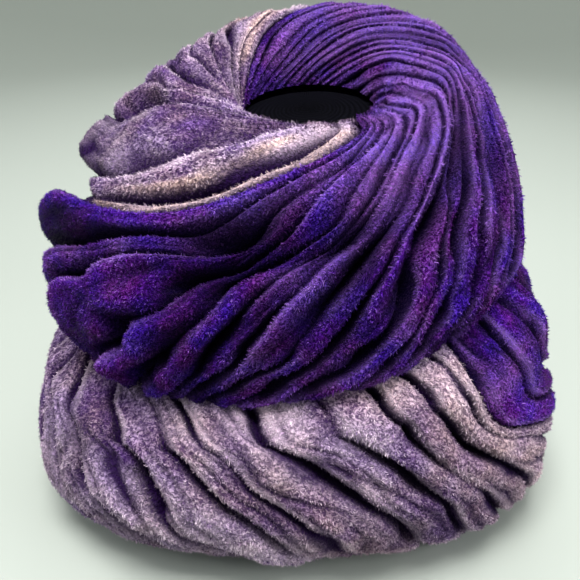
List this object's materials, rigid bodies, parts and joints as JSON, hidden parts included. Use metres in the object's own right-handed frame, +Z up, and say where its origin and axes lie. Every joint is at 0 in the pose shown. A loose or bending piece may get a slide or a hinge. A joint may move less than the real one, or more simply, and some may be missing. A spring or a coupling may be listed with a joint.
{
  "type": "draped velvet turban hat",
  "caption": "Draped turban hat: a black knit cap inside a low wide roll and a twisted upper roll of pleated velvet, in purple and lavender.",
  "frame": {"origin": "on the surface the hat stands on, under the middle of its box", "axes": "+Z up, -Y the front of the hat, +X the longer way across the lower roll, towards the wearer's left"},
  "size_m": [0.2716, 0.229, 0.219],
  "materials": {
    "velvet_purple": "plush velvet",
    "velvet_lavender": "plush velvet",
    "knit_black": "fine knit"
  },
  "bodies": {
    "root": {"inner_cap": "knit_black", "upper_roll_purple": "velvet_purple", "upper_roll_lavender": "velvet_lavender", "lower_roll_purple": "velvet_purple", "lower_roll_lavender": "velvet_lavender"}
  },
  "joints": []
}
